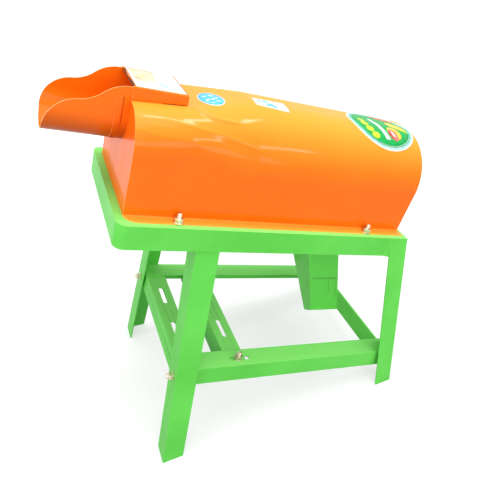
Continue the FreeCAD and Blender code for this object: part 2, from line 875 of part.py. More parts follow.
def make_pan():
    body = pan_body(0, 0, pan_start, pan_end)
    room = pan_body(sheet, over, pan_start + sheet, pan_end - sheet)
    pan = body.cut(room).cut(rod(axis_point(pan_start - over), ALONG, ring_outer + pan_ring_gap,
                                 pan_end - pan_start + over + over))
    reach = pan_half_top + pan_flange_reach
    lip = box(pan_start + angle_size, pan_end, -reach, -pan_half_top, pan_top - sheet, pan_top)
    x0 = spout_left_at(pan_depth) + sheet
    mouth = box(x0, x0 + spout_width - sheet - sheet, -spout_front + sheet, spout_slide_top - sheet,
                -pan_depth - over, -pan_depth + sheet + over)
    keep("grain_pan", [pan.cut(mouth).removeSplitter()] + both_sides(lip))

    left = spout_left_at(spout_seam_depth) + spout_lip
    seam = box(left, left + spout_width - spout_lip - sheet, -spout_front - over, -spout_front + sheet,
               -spout_seam_depth - spout_seam_gap, -spout_seam_depth)
    keep("grain_spout", spout_outer().cut(spout_room()).cut(seam).removeSplitter())


os.makedirs(parts_folder, exist_ok=True)
make_bed()
make_legs()
make_lower_rails()
make_motor_rails()
make_leg_bolts()
make_hood()
make_hood_bolts()
make_trough()
make_rotor()
make_pulley()
make_bearings()
make_concave()
make_pan()

bounds = Part.makeCompound(list(made.values())).BoundBox
print("nodes", len(made), "solids", sum(len(s.Solids) for s in made.values()))
print("size", round(bounds.XLength, 1), round(bounds.YLength, 1), round(bounds.ZLength, 1))
print("x", round(bounds.XMin, 2), round(bounds.XMax, 2), "z", round(bounds.ZMin, 3), round(bounds.ZMax, 2))
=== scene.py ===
import json
import math
import random

import bpy
from mathutils import Euler, Matrix, Vector


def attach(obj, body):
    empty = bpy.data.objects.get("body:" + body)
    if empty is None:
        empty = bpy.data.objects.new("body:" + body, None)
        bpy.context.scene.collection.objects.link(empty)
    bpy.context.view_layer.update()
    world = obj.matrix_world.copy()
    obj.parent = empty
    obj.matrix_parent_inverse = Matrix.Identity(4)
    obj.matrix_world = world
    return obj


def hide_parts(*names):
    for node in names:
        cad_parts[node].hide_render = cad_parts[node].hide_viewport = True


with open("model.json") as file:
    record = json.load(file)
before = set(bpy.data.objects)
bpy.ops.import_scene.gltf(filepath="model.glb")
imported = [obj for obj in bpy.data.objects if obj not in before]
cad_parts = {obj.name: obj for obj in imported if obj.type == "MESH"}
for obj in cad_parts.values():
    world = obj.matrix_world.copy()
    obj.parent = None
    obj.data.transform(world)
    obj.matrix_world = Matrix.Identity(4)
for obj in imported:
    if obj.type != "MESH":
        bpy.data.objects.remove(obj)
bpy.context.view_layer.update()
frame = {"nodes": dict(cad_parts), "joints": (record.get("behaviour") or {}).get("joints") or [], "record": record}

# Corn sheller on its angle-iron stand. Places are written in millimetres along the tilted bed, as in the
# part's source: x from the feed end to the cob outlet, y to the back, z square to the bed's top face.

MM = 0.001
spin = next(j for j in frame["joints"] if j["name"] == "drum_spin")
ALONG = Vector(spin["axis"])
ACROSS = Vector((0, 1, 0))
UP = ALONG.cross(ACROSS)
ROTOR_START = 118.0
ROTOR_HEIGHT = 22.0
ORIGIN = Vector(spin["pos_m"]) - ALONG * ROTOR_START * MM - UP * ROTOR_HEIGHT * MM

# Sizes that the pieces here share with the solids: the bed, its angle iron and the sheet
BED_LENGTH = 537.0
HALF_WIDTH = 130.5
ANGLE = 40.0
WALL = 3.0
SHEET = 1.5

# The hood, whose height and shoulders grow from the throat to HOOD_FULL
HOOD_START = 12.0
HOOD_END = 529.0
HOOD_HALF = 103.5
THROAT_END = 91.0
HOOD_FULL = 200.0
FEED_HEIGHT = 147.0
THROAT_HEIGHT = 152.0
HOOD_HEIGHT = 168.0
FEED_RADIUS = 52.0
HOOD_RADIUS = 90.0
FLANGE_REACH = 17.5

# The throat and the trough
THROAT_TOP = 166.5
THROAT_HALF = 46.8
THROAT_SINK = 0.4
TROUGH_RADIUS = 45.0
TROUGH_AXIS = 121.5
TROUGH_LIP = 97.0
TROUGH_FLOOR_END = 114.0
TROUGH_FLOOR_HEIGHT = 100.0

# The legs, by their lean along the bed and their splay across it, and the rails between them
LEFT_LEG_PLACE = 123.4
LEFT_LEG_LEAN = 0.047
LEFT_LEG_SPLAY = 0.1375
RIGHT_LEG_LEAN = 0.335
RIGHT_LEG_SPLAY = 0.131
RAIL_DEPTH = 276.0

# The spout
SPOUT_TOP = 72.0
SPOUT_PLACE = 377.2
SPOUT_LEAN = 0.435
SPOUT_LENGTH = 70.3
SPOUT_FRONT = 68.5
SPOUT_SLIT = 141.0

# The fasteners, M8 but for the bearings' bolts, which are M6
STUD = 4.0
NUT_FLATS = 13.0
BEARING_STUD = 3.0
BEARING_NUT_FLATS = 11.0
HOOD_BOLT_PLACES = (91.0, 445.0)
HOOD_BOLT_LINE = HOOD_HALF + 7.2 + STUD
BEARING_PLACES = (("feed", 92.0), ("cob", 517.0))
BEARING_BOLT_LINE = 32.0
SLOT_INSET = 18.0
SLOT_PLACE = 97.0
SLIDE_REST = 20.0
LEG_BOLT_INSET = 12.45
LEG_BOLT_DROP = 21.0

SIDES = ((-1, "front"), (1, "back"))


def bed(x, y, z):
    """A place on the machine, from millimetres along the bed to metres in the frame."""
    return ORIGIN + (ALONG * x + ACROSS * y + UP * z) * MM


# Materials


def new_material(name):
    material = bpy.data.materials.new(name)
    material.use_nodes = True
    tree = material.node_tree
    return material, tree, tree.nodes["Principled BSDF"]


def noise(tree, scale, detail=3.0, rough=0.5, stretch=None):
    """Noise in object space, which is the frame itself, so that it lies still on every piece."""
    place = tree.nodes.new("ShaderNodeTexCoord")
    node = tree.nodes.new("ShaderNodeTexNoise")
    node.inputs["Scale"].default_value = scale
    node.inputs["Detail"].default_value = detail
    node.inputs["Roughness"].default_value = rough
    if stretch is None:
        tree.links.new(place.outputs["Object"], node.inputs["Vector"])
    else:
        mapping = tree.nodes.new("ShaderNodeMapping")
        mapping.inputs["Scale"].default_value = stretch
        tree.links.new(place.outputs["Object"], mapping.inputs["Vector"])
        tree.links.new(mapping.outputs["Vector"], node.inputs["Vector"])
    return node.outputs["Fac"]


def ramp(tree, fac, stops):
    """Colours by a field, from stops of a position and a colour."""
    node = tree.nodes.new("ShaderNodeValToRGB")
    elements = node.color_ramp.elements
    elements[0].position, elements[0].color = stops[0][0], (*stops[0][1], 1)
    elements[1].position, elements[1].color = stops[-1][0], (*stops[-1][1], 1)
    for place, colour in stops[1:-1]:
        elements.new(place).color = (*colour, 1)
    tree.links.new(fac, node.inputs["Fac"])
    return node.outputs["Color"]


def mix(tree, fac, first, second, kind="MIX"):
    """Blends two colours; each input is a socket, a colour or a number."""
    node = tree.nodes.new("ShaderNodeMix")
    node.data_type = "RGBA"
    node.blend_type = kind
    for name, value in (("Factor", fac), ("A", first), ("B", second)):
        socket = node.inputs[name]
        if isinstance(value, bpy.types.NodeSocket):
            tree.links.new(value, socket)
        elif isinstance(value, tuple):
            socket.default_value = (*value, 1)
        else:
            socket.default_value = value
    return node.outputs["Result"]


def span(tree, fac, low, high, start=0.0, end=1.0):
    """Maps a field from start and end to low and high, and holds it there beyond them."""
    node = tree.nodes.new("ShaderNodeMapRange")
    for socket, value in (("From Min", start), ("From Max", end), ("To Min", low), ("To Max", high)):
        node.inputs[socket].default_value = value
    tree.links.new(fac, node.inputs["Value"])
    return node.outputs["Result"]


def bump(tree, shader, layers):
    """Stacks height layers, each a field, a strength and a distance in metres."""
    last = None
    for field, strength, distance in layers:
        node = tree.nodes.new("ShaderNodeBump")
        node.inputs["Strength"].default_value = strength
        node.inputs["Distance"].default_value = distance
        tree.links.new(field, node.inputs["Height"])
        if last is not None:
            tree.links.new(last, node.inputs["Normal"])
        last = node.outputs["Normal"]
    tree.links.new(last, shader.inputs["Normal"])


def dot(tree, first, second):
    """Dot product of a field with another field, or with a fixed direction."""
    node = tree.nodes.new("ShaderNodeVectorMath")
    node.operation = "DOT_PRODUCT"
    tree.links.new(first, node.inputs[0])
    if isinstance(second, bpy.types.NodeSocket):
        tree.links.new(second, node.inputs[1])
    else:
        node.inputs[1].default_value = second
    return node.outputs["Value"]


def math_node(tree, operation, first, second, clamp=False):
    node = tree.nodes.new("ShaderNodeMath")
    node.operation = operation
    node.use_clamp = clamp
    tree.links.new(first, node.inputs[0])
    tree.links.new(second, node.inputs[1])
    return node.outputs["Value"]


def times(tree, first, second):
    return math_node(tree, "MULTIPLY", first, second, clamp=True)


def wear_and_highlight_edges(tree, radius):
    """Bright where a rounded normal leaves the true one, which is along edges, and broken up by noise: worn paint
    and a painted highlight together.
    """
    geometry = tree.nodes.new("ShaderNodeNewGeometry")
    rounded = tree.nodes.new("ShaderNodeBevel")
    rounded.samples = 4
    rounded.inputs["Radius"].default_value = radius
    flat = dot(tree, rounded.outputs["Normal"], geometry.outputs["Normal"])
    edge = span(tree, flat, 1.0, 0.0, 0.72, 0.97)
    return times(tree, edge, span(tree, noise(tree, 140, 4, 0.6), 0.0, 1.0, 0.4, 0.62))


def paint(name, colour, deep, pale, gloss, coat, edge, painted_top_light=None, under=None):
    """Sprayed enamel: slow shifts of tone, orange peel, sags and waves in the sheet, and pale edges that are
    partly thin paint and partly a painted highlight.

    Faces that look up are lightened towards one given colour, as painted light from above, and those that look
    down are darkened towards another, as painted shade.
    """
    material, tree, shader = new_material(name)
    tone = ramp(tree, noise(tree, 6, 4, 0.6), [(0.3, deep), (0.52, colour), (0.72, pale)])
    rise = dot(tree, tree.nodes.new("ShaderNodeNewGeometry").outputs["Normal"], tuple(UP))
    # Lighter on faces that look up: painted light from above.
    if painted_top_light is not None:
        facing = span(tree, rise, 0.0, 1.0, 0.05, 1.0)
        tone = mix(tree, times(tree, facing, facing), tone, painted_top_light)
    # Darker on faces that look down: painted shade.
    if under is not None:
        tone = mix(tree, span(tree, rise, 1.0, 0.0, -0.8, 0.1), tone, under)
    speck = ramp(tree, noise(tree, 900, 2), [(0.3, (0.86, 0.86, 0.86)), (0.42, (1, 1, 1))])
    tone = mix(tree, 0.35, tone, speck, "MULTIPLY")
    # Pale along the edges: worn paint, and a painted highlight where they catch the light.
    tone = mix(tree, wear_and_highlight_edges(tree, 0.0011), tone, edge)
    tree.links.new(tone, shader.inputs["Base Color"])
    rough = span(tree, noise(tree, 35, 4, 0.6), gloss - 0.06, gloss + 0.1)
    tree.links.new(rough, shader.inputs["Roughness"])
    shader.inputs["Specular IOR Level"].default_value = 0.03
    shader.inputs["Coat Weight"].default_value = coat
    shader.inputs["Coat Roughness"].default_value = 0.07
    waves = noise(tree, 9, 2, 0.5, (0.35, 1.6, 1.6))
    sags = noise(tree, 34, 2)
    peel = noise(tree, 420, 2)
    bump(tree, shader, [(waves, 0.35, 0.01), (sags, 0.12, 0.003), (peel, 0.09, 0.0006)])
    return material


def metal(name, colour, deep, gloss, scratch):
    """Clouded metal; scratch scales its marks along each axis, and a larger number makes them finer."""
    material, tree, shader = new_material(name)
    tone = ramp(tree, noise(tree, 30, 5, 0.6), [(0.32, deep), (0.62, colour)])
    tree.links.new(tone, shader.inputs["Base Color"])
    shader.inputs["Metallic"].default_value = 1.0
    tree.links.new(span(tree, noise(tree, 120, 4), gloss - 0.08, gloss + 0.14), shader.inputs["Roughness"])
    bump(tree, shader, [(noise(tree, 260, 3, 0.6, scratch), 0.25, 0.0004)])
    return material


def cast_metal(name, colour, deep):
    """Dull metal with the grain of a sand mould."""
    material, tree, shader = new_material(name)
    tone = ramp(tree, noise(tree, 60, 5, 0.65), [(0.35, deep), (0.65, colour)])
    tree.links.new(tone, shader.inputs["Base Color"])
    shader.inputs["Metallic"].default_value = 0.75
    tree.links.new(span(tree, noise(tree, 90, 4), 0.45, 0.75), shader.inputs["Roughness"])
    bump(tree, shader, [(noise(tree, 700, 3), 0.5, 0.0008), (noise(tree, 90, 3), 0.3, 0.001)])
    return material


def print_ink(name, colour, second, scale, shine=0.5):
    """Ink on a glossy film, with the faint unevenness of a printed sticker."""
    material, tree, shader = new_material(name)
    shader.inputs["Specular IOR Level"].default_value = shine
    tone = ramp(tree, noise(tree, scale, 3), [(0.4, second), (0.6, colour)])
    tree.links.new(tone, shader.inputs["Base Color"])
    tree.links.new(span(tree, noise(tree, 50, 3), 0.25, 0.4), shader.inputs["Roughness"])
    bump(tree, shader, [(noise(tree, 60, 2), 0.1, 0.0006)])
    return material


# Each paint's tone, with its deep and pale shifts; the gloss and the coat; then the pale edge, which is worn paint
# and painted highlight together
FLAT_ORANGE = ((0.99, 0.168, 0.004), (0.96, 0.155, 0.003), (1.0, 0.185, 0.006))
CUT_ORANGE = ((1.0, 0.34, 0.06), (0.95, 0.26, 0.03), (1.0, 0.5, 0.16))
FLAT_GREEN = ((0.125, 0.64, 0.08), (0.11, 0.58, 0.065), (0.15, 0.7, 0.1))
WORN_AND_HIGHLIT_ORANGE = (1.0, 0.42, 0.1)
# A dark orange for faces that look down, which is painted shade; the pale colours given to the hood and the green
# paint are painted light on faces that look up.
UNDER_SHADE = (0.5, 0.085, 0.004)
HOOD_ORANGE = paint("hood_enamel", *FLAT_ORANGE, 0.34, 0.22, WORN_AND_HIGHLIT_ORANGE,
                    painted_top_light=(1.0, 0.34, 0.035), under=UNDER_SHADE)
ORANGE = paint("orange_enamel", *FLAT_ORANGE, 0.34, 0.22, WORN_AND_HIGHLIT_ORANGE, under=UNDER_SHADE)
# A paler orange for cut edges: thin paint, and a painted highlight along them.
RIM_ORANGE = paint("orange_rim", *CUT_ORANGE, 0.3, 0.3, (1.0, 0.6, 0.3))
GREEN = paint("green_enamel", *FLAT_GREEN, 0.38, 0.14, (0.4, 0.85, 0.3), painted_top_light=(0.24, 0.78, 0.16))
# Near-black film for open seams: painted shade.
SEAM_SHADE = print_ink("seam_shade", (0.02, 0.008, 0.005), (0.14, 0.035, 0.012), 60, 0.05)
# Dark brown film for the trough's seam: painted shade.
BROWN_SEAM_SHADE = print_ink("brown_seam_shade", (0.55, 0.1, 0.006), (0.75, 0.13, 0.006), 70, 0.05)
# Thin dark green lines for the spout's seam and fold.
DARK_GREEN_LINE = print_ink("green_seam", (0.03, 0.22, 0.02), (0.05, 0.32, 0.03), 120, 0.05)
BARE = metal("bare_steel", (0.55, 0.53, 0.5), (0.3, 0.27, 0.24), 0.42, (1, 1, 6))
BRIGHT = metal("turned_steel", (0.72, 0.72, 0.72), (0.55, 0.55, 0.56), 0.24, (8, 1, 1))
ZINC = metal("zinc_plate", (0.78, 0.72, 0.58), (0.5, 0.42, 0.28), 0.3, (1, 1, 1))
CAST = cast_metal("cast_iron", (0.2, 0.2, 0.2), (0.1, 0.1, 0.1))
WHITE_FILM = print_ink("white_film", (0.76, 0.76, 0.755), (0.72, 0.73, 0.73), 40, 0.2)
CREAM_INK = print_ink("cream_ink", (0.76, 0.58, 0.32), (0.74, 0.66, 0.46), 60, 0.2)
BROWN_INK = print_ink("brown_ink", (0.45, 0.12, 0.05), (0.6, 0.25, 0.1), 160)
BLUE_INK = print_ink("blue_ink", (0.02, 0.42, 0.8), (0.05, 0.5, 0.86), 260)
PALE_BLUE_INK = print_ink("pale_blue_ink", (0.12, 0.44, 0.66), (0.22, 0.54, 0.7), 200, 0.2)
GREEN_INK = print_ink("green_ink", (0.005, 0.31, 0.06), (0.008, 0.36, 0.075), 120, 0.15)
DARK_GREEN_INK = print_ink("dark_green_ink", (0.01, 0.17, 0.14), (0.03, 0.24, 0.2), 120, 0.15)
LIME_INK = print_ink("lime_ink", (0.42, 0.66, 0.015), (0.6, 0.7, 0.02), 90, 0.2)
MINT_INK = print_ink("mint_ink", (0.22, 0.72, 0.55), (0.36, 0.78, 0.64), 160, 0.2)
AMBER_INK = print_ink("amber_ink", (0.78, 0.5, 0.03), (0.74, 0.62, 0.06), 90, 0.2)
ROSE_INK = print_ink("rose_ink", (0.6, 0.03, 0.035), (0.76, 0.2, 0.16), 90, 0.2)


# Mesh helpers


def make_piece(name, verts, faces, material, body, smooth=True):
    """A mesh that rides on a body."""
    mesh = bpy.data.meshes.new(name)
    mesh.from_pydata([tuple(v) for v in verts], [], faces)
    mesh.materials.append(material)
    mesh.validate()
    for face in mesh.polygons:
        face.use_smooth = smooth
    piece = bpy.data.objects.new(name, mesh)
    bpy.context.scene.collection.objects.link(piece)
    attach(piece, body)
    return piece


def add_modifier(piece, kind, **values):
    modifier = piece.modifiers.new(kind.lower(), kind)
    for key, value in values.items():
        setattr(modifier, key, value)


def ease_edges(piece, width, angle):
    """Rounds the edges that turn by more than an angle in degrees, and keeps the faces' shading flat."""
    add_modifier(piece, "BEVEL", width=width * MM, segments=2, limit_method="ANGLE",
                 angle_limit=math.radians(angle), use_clamp_overlap=True)
    add_modifier(piece, "WEIGHTED_NORMAL", keep_sharp=True)


def thin_film(piece, thickness, offset):
    add_modifier(piece, "SOLIDIFY", thickness=thickness * MM, offset=offset)


def sheet_metal(piece, thickness, rim=0.3):
    """Gives a surface its thickness inwards, and eases the cut edge, painted pale: partly thin paint, partly a
    painted highlight along the edge.
    """
    piece.data.materials.append(RIM_ORANGE)
    add_modifier(piece, "SOLIDIFY", thickness=thickness * MM, offset=-1.0, use_even_offset=True,
                 material_offset_rim=1)
    ease_edges(piece, rim, 50)


def grid_faces(rows, columns, skip=None, closed=False):
    """Faces of a grid of places, without those that skip names, and joined round if it is closed."""
    faces = []
    for i in range(rows - 1):
        for j in range(columns if closed else columns - 1):
            if skip and skip(i, j):
                continue
            k = (j + 1) % columns
            low, high = i * columns, (i + 1) * columns
            faces.append((low + j, low + k, high + k, high + j))
    return faces


def turned_over(faces):
    return [tuple(reversed(face)) for face in faces]


# Carried-over solids: better materials, eased edges


FINISH_OF_SLOT = {
    "frame_green": (GREEN, 0.6),
    "hood_orange": (ORANGE, 0.35),
    "zinc_plate": (ZINC, 0.3),
    "bare_steel": (BARE, 0.4),
    "cast_iron": (CAST, 0.9),
    "bright_steel": (BRIGHT, 0.3),
}


def dress(node, material, edge):
    """Gives a solid's node its material, and rounds its edges by edge millimetres."""
    piece = frame["nodes"][node]
    piece.data.materials.clear()
    piece.data.materials.append(material)
    for face in piece.data.polygons:
        face.use_smooth = True
    add_modifier(piece, "WELD", merge_threshold=0.00001)
    ease_edges(piece, edge, 38)


for entry in frame["record"]["subparts"]:
    dress(entry["node"], *FINISH_OF_SLOT[entry["material_slot"]])


# Hood


def hood_profile(x):
    """Height and shoulder radius of the hood's outside at a place along the bed."""
    if x <= THROAT_END:
        share = (x - HOOD_START) / (THROAT_END - HOOD_START)
        return FEED_HEIGHT + (THROAT_HEIGHT - FEED_HEIGHT) * share, FEED_RADIUS
    if x <= HOOD_FULL:
        share = (x - THROAT_END) / (HOOD_FULL - THROAT_END)
        return (THROAT_HEIGHT + (HOOD_HEIGHT - THROAT_HEIGHT) * share,
                FEED_RADIUS + (HOOD_RADIUS - FEED_RADIUS) * share)
    return HOOD_HEIGHT, HOOD_RADIUS


def smooth_value(a, b, c, d, t):
    """A value at a share t of the way from b to c, on a smooth run through all four."""
    bend = 2 * a - 5 * b + 4 * c - d
    twist = 3 * b - a - 3 * c + d
    return 0.5 * (2 * b + (c - a) * t + bend * t * t + twist * t ** 3)


def rounded_path(path, steps=5):
    """A smooth run of places through the given ones."""
    ends = [path[0], *path, path[-1]]
    run = []
    for k in range(1, len(ends) - 2):
        for i in range(steps):
            run.append(tuple(smooth_value(*values, i / steps) for values in zip(*ends[k - 1:k + 3])))
    return run + [path[-1]]


# Creases that the folding left on the front shoulder: height at each end, half width, then places along
# the bed and round the sheet
CREASES = [(first, last, width, rounded_path(path)) for first, last, width, path in (
    (2.2, 0.5, 3.4, ((91, -47), (105, -61), (121, -69), (140, -73), (160, -74.5), (185, -75))),
    (0.5, 0.8, 4.0, ((50, -80), (90, -90), (147, -99.5), (180, -107), (215, -118))),
    (0.4, 0.4, 5.0, ((52, -103), (85, -112), (120, -119))),
    (0.4, 0.4, 4.0, ((13, -100), (40, -106), (70, -114))),
)]


def crease_lift(x, girth):
    """How far the creases stand out at a place on the hood, fading at their ends."""
    lift = 0.0
    for first, last, width, path in CREASES:
        best, share_of_run = None, 0.0
        runs = len(path) - 1
        for k in range(runs):
            (x0, g0), (x1, g1) = path[k], path[k + 1]
            dx, dg = x1 - x0, g1 - g0
            share = min(max(((x - x0) * dx + (girth - g0) * dg) / (dx * dx + dg * dg), 0.0), 1.0)
            away = math.hypot(x - x0 - dx * share, girth - g0 - dg * share)
            if best is None or away < best:
                best, share_of_run = away, (k + share) / runs
        fade = min(share_of_run / 0.08 + 0.2, (1 - share_of_run) / 0.3, 1.0)
        height = first + (last - first) * share_of_run
        lift += height * math.exp(-(best / width) ** 2) * fade * fade * (3 - 2 * fade)
    return lift


def hood_point(x, girth, lift=0.0):
    """A place on the hood, by its distance round the sheet from the middle line."""
    if girth < 0:
        lift += crease_lift(x, girth)
    height, radius = hood_profile(x)
    flat = HOOD_HALF - radius
    side = -1 if girth < 0 else 1
    away = abs(girth)
    if away <= flat:
        return bed(x, girth, height + lift)
    turn = (away - flat) / radius
    if turn < math.pi / 2:
        reach = radius + lift
        return bed(x, side * (flat + reach * math.sin(turn)), height - radius + reach * math.cos(turn))
    return bed(x, side * (HOOD_HALF + lift), height - radius - (away - flat - radius * math.pi / 2))


def flange_edge(x):
    """How far the foot flange reaches from the hood's side, rounded off at the feed end."""
    radius = FLANGE_REACH + SHEET
    run = x - HOOD_START
    if run >= radius:
        return FLANGE_REACH
    return FLANGE_REACH - radius + math.sqrt(radius * radius - (radius - run) ** 2)


def foot_places(x, bend):
    """The flange's edge, its bend and the hood's side at x, as places across the bed and up."""
    height, radius = hood_profile(x)
    edge = max(flange_edge(x), 0.2)
    corner = min(bend, edge)
    places = []
    for share in (0, 0.15, 0.5, 1):
        reach = edge + (bend - edge) * share if edge > bend else edge
        places.append((HOOD_HALF + reach, SHEET))
    for k in range(1, 5):
        turn = math.radians(90 * k / 4)
        places.append((HOOD_HALF + corner * (1 - math.sin(turn)), SHEET + corner * (1 - math.cos(turn))))
    side = height - radius - SHEET - bend
    return places + [(HOOD_HALF, SHEET + bend + side * share) for share in (0.3, 0.6, 0.85)]


def make_hood():
    """The folded sheet, its foot flanges and the opening for the throat."""
    corner_steps = 60
    opening = TROUGH_RADIUS + 0.3
    stations = [HOOD_START + s for s in (0, 0.4, 1.5, 3.5, 6.5, 10, 14, 19, 25, 32, 40, 48, 56, 63, 70)]
    stations += [THROAT_END - SHEET]
    stations += [THROAT_END + k * (HOOD_FULL - THROAT_END) / 40 for k in range(41)]
    stations += [HOOD_FULL + k * (HOOD_END - HOOD_FULL) / 16 for k in range(1, 17)]
    verts = []
    for x in stations:
        foot = foot_places(x, 2.0)
        radius = hood_profile(x)[1]
        flat = HOOD_HALF - radius
        corner = radius * math.pi / 2
        girths = [flat + corner * (1 - k / corner_steps) for k in range(corner_steps)]
        girths += [flat * opening / (HOOD_HALF - FEED_RADIUS), flat * 0.4]
        verts += [bed(x, -y, z) for y, z in foot] + [hood_point(x, -g) for g in girths]
        verts += [hood_point(x, g) for g in reversed(girths)] + [bed(x, y, z) for y, z in reversed(foot)]
    columns = len(verts) // len(stations)
    inner = columns // 2 - 2
    throat_rows = sum(1 for x in stations if x < THROAT_END - SHEET - 0.01)

    def skip(i, j):
        return i < throat_rows and inner <= j < columns - 1 - inner

    faces = turned_over(grid_faces(len(stations), columns, skip))
    piece = make_piece("hood_sheet", verts, faces, HOOD_ORANGE, "stand")
    sheet_metal(piece, SHEET)
    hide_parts("hood")


def throat_foot(x):
    """Height at which the throat's sheets sink into the hood."""
    return hood_profile(x)[0] - THROAT_SINK


def throat_setback(y):
    """How far the top's front edge lies behind the trough's seam, least a little behind the middle."""
    hollow = 4.2 - 2.6 * math.exp(-((y - 8) / 16) ** 2)
    return hollow * min(max((THROAT_HALF - 2.5 - abs(y)) / 3, 0), 1)


def make_throat():
    """The folded box over the hood's opening, with the plate that closes its end."""
    bend = 1.8
    # Places across, each with its height as a share of the side up to 1, and past that as a rise in the bend
    sections = [(-THROAT_HALF, 0), (-THROAT_HALF, 0.5)]
    for k in range(7):
        turn = math.radians(90 * k / 6)
        sections.append((-THROAT_HALF + bend * (1 - math.cos(turn)), 1 + bend * math.sin(turn)))
    sections += [(y, 1 + bend) for y in (-38, -30, -20, -10, 0)]
    sections += [(-y, z) for y, z in reversed(sections[:-1])]
    shares = (0, 0.02, 0.08, 0.2, 0.4, 0.6, 0.8, 1.0)
    verts = []
    for share in shares:
        for y, z in sections:
            start = HOOD_START + throat_setback(y)
            x = start + (THROAT_END - start) * share
            foot = throat_foot(x)
            side = THROAT_TOP - bend - foot
            verts.append(bed(x, y, foot + side * z if z < 1 else THROAT_TOP - bend + z - 1))
    faces = turned_over(grid_faces(len(shares), len(sections)))
    piece = make_piece("throat_sheet", verts, faces, ORANGE, "stand")
    sheet_metal(piece, SHEET)
    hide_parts("throat_box")

    foot = throat_foot(THROAT_END)
    tall = THROAT_TOP - 0.25 - foot
    wide = THROAT_HALF - 0.25
    verts = [bed(THROAT_END - 0.05, -wide + 2 * wide * j / 8, foot + tall * i / 3)
             for i in range(4) for j in range(9)]
    end = make_piece("throat_end_sheet", verts, grid_faces(4, 9), ORANGE, "stand")
    sheet_metal(end, SHEET, 0.5)


def make_throat_seams():
    """Dark films painted as shade in the open seams: under the top's front edge and along the near side's foot."""
    across = (-43.5, -30, -15, 0, 15, 30, 43.5)
    verts = [bed(x, y, THROAT_TOP - SHEET - 0.4) for x in (12.6, 15, 19) for y in across]
    seam = make_piece("throat_front_seam", verts, grid_faces(3, 7), SEAM_SHADE, "stand")
    thin_film(seam, 0.3, 0.0)
    verts = [bed(x, -THROAT_HALF - 0.12, hood_profile(x)[0] + rise)
             for rise in (-0.2, 1.0) for x in (56, 64, 72, 80, 88)]
    seam = make_piece("throat_foot_seam", verts, grid_faces(2, 5), SEAM_SHADE, "stand")
    thin_film(seam, 0.12, 0.0)


# Trough


# The wavy edge: shares of the trough's reach from the hood and of its rise from the floor
EDGE_SHARES = ((0.0, 1.0), (0.17, 0.965), (0.34, 0.84), (0.455, 0.745), (0.62, 0.69), (0.885, 0.52),
               (0.995, 0.11))


def arc_height(first, middle, last, x):
    """Height at x on the arc through three places, each an (x, z) pair."""
    (x1, z1), (x2, z2), (x3, z3) = first, middle, last
    d = 2 * (x1 * (z2 - z3) + x2 * (z3 - z1) + x3 * (z1 - z2))
    s1, s2, s3 = x1 * x1 + z1 * z1, x2 * x2 + z2 * z2, x3 * x3 + z3 * z3
    cx = (s1 * (z2 - z3) + s2 * (z3 - z1) + s3 * (z1 - z2)) / d
    cz = (s1 * (x3 - x2) + s2 * (x1 - x3) + s3 * (x2 - x1)) / d
    radius = math.hypot(x1 - cx, z1 - cz)
    rise = math.sqrt(max(radius * radius - (x - cx) ** 2, 0))
    side = 1 if z2 > cz else -1
    return cz + side * rise


def trough_edge(x):
    """Height of the trough's wavy edge."""
    low = TROUGH_AXIS - TROUGH_RADIUS
    rise = THROAT_TOP - SHEET - low
    reach = HOOD_START + TROUGH_LIP
    points = [(HOOD_START - along * reach, low + up * rise) for along, up in EDGE_SHARES]
    if x >= points[0][0]:
        return points[0][1]
    for k in (0, 2, 4):
        if x >= points[k + 2][0]:
            return arc_height(points[k], points[k + 1], points[k + 2], x)
    return points[-1][1]


def channel_row(x, radius, top, columns):
    """Places round the trough's section at x, from one edge under the floor to the other."""
    if top < TROUGH_AXIS:
        half_turn = math.acos((TROUGH_AXIS - top) / radius)
        straight = 0
    else:
        half_turn = math.pi / 2
        straight = top - TROUGH_AXIS
    total = straight + half_turn * radius
    row = []
    for k in range(columns):
        s = total * (2 * k / (columns - 1) - 1)
        side = -1 if s < 0 else 1
        turn = abs(s) / radius
        if turn <= half_turn:
            row.append(bed(x, side * radius * math.sin(turn), TROUGH_AXIS - radius * math.cos(turn)))
        else:
            row.append(bed(x, side * radius, TROUGH_AXIS + abs(s) - half_turn * radius))
    return row


def channel(name, stations, radius, top_at, thickness, columns=57):
    """A sheet bent round the trough's section, from station to station along the bed."""
    verts = []
    for x in stations:
        verts.extend(channel_row(x, radius, top_at(x), columns))
    piece = make_piece(name, verts, grid_faces(len(stations), columns), ORANGE, "stand")
    sheet_metal(piece, thickness)
    return piece


def make_trough():
    """The feed trough, its tongue in the hood, and the band, with a dark brown film at its seam with the throat as
    painted shade.
    """
    inside = THROAT_END - SHEET - 0.3
    stations = [-TROUGH_LIP + s for s in (0, 0.25, 0.55, 1.2, 2.2, 3.5, 5, 7)]
    stations += [-TROUGH_LIP + 10 + k * (TROUGH_LIP + HOOD_START - 10) / 36 for k in range(37)]
    stations += [30, 50, 70, inside]
    piece = channel("feed_trough_sheet", stations, TROUGH_RADIUS, trough_edge, SHEET)
    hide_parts("feed_trough")
    channel("feed_trough_tongue", (inside, 98, 106, TROUGH_FLOOR_END), TROUGH_RADIUS,
            lambda x: TROUGH_FLOOR_HEIGHT, SHEET, 25)
    channel("feed_trough_band", (-7, -6.7, -3, 1, 1.3), TROUGH_RADIUS + 0.85, lambda x: 150, 0.8, 41)
    # A dark brown film along the seam: painted shade in the gap.
    verts = channel_row(1.4, TROUGH_RADIUS + 0.3, 152, 41) + channel_row(3.4, TROUGH_RADIUS + 0.18, 152, 41)
    dirt = make_piece("feed_trough_seam", verts, grid_faces(2, 41), BROWN_SEAM_SHADE, "stand")
    thin_film(dirt, 0.12, -1.0)


make_hood()
make_throat()
make_throat_seams()
make_trough()


# Printed films on the hood and on the throat's top


# How far a film, and each print on it, lies above the sheet
FILM, PRINT, SECOND_PRINT, THIRD_PRINT = 0.12, 0.2, 0.28, 0.36


